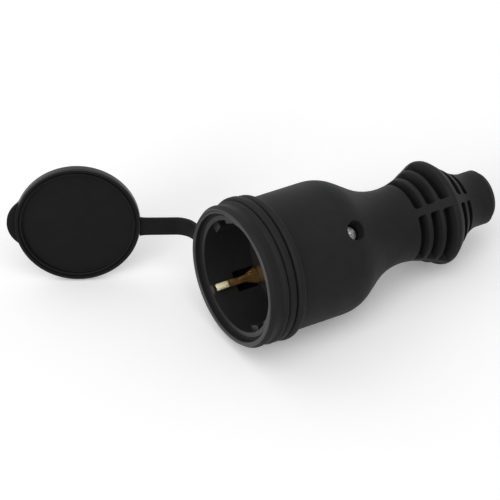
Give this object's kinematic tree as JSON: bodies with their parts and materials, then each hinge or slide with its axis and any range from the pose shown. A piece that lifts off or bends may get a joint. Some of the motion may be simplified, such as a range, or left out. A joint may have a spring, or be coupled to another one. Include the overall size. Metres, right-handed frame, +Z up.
{
  "type": "inline socket connector",
  "caption": "Black rubber inline socket connector with a round earthed recess, a ribbed bulb at the cable end and a cap on a flexible strap.",
  "frame": {"origin": "centre of the lip's front plane, on the connector's own axis", "axes": "+X from the mouth towards the cable end, level with the floor; +Y towards the strap and cap; +Z up. The connector's own axis dips below +X by about 6.1 degrees, because it lies on its shoulder and its bulb."},
  "size_m": [0.1424, 0.0951, 0.0494],
  "materials": {
    "rubber": "matt black moulded rubber with a fine grain",
    "insert_plastic": "matt black moulded thermoset",
    "brass": "drawn brass, slightly dulled",
    "plated_steel": "zinc-plated steel"
  },
  "bodies": {
    "connector": {"rubber_body": "rubber", "tether_ring": "rubber", "cap_strap": "rubber", "socket_insert": "insert_plastic", "contact_carrier": "insert_plastic", "cord_clamp": "insert_plastic", "live_contact": "brass", "neutral_contact": "brass", "earth_terminal": "brass", "earth_strip": "brass", "screw_bush": "brass", "live_terminal_screw": "plated_steel", "neutral_terminal_screw": "plated_steel", "earth_terminal_screw": "plated_steel", "face_screw_upper": "plated_steel", "face_screw_lower": "plated_steel", "body_screw": "plated_steel", "clamp_screw_left": "plated_steel", "clamp_screw_right": "plated_steel"},
    "cap": {"protective_cap": "rubber"}
  },
  "joints": [
    {"name": "cap_hinge", "type": "hinge", "parent": "connector", "child": "cap", "pos_m": [0.00418, 0.03458, -0.00515], "axis": [0.1053, 0.134, 0.9854], "range_deg": [-57.8, 122.2], "stiffness_Nm_per_rad": 0.01, "deforming": ["cap_strap"]}
  ]
}
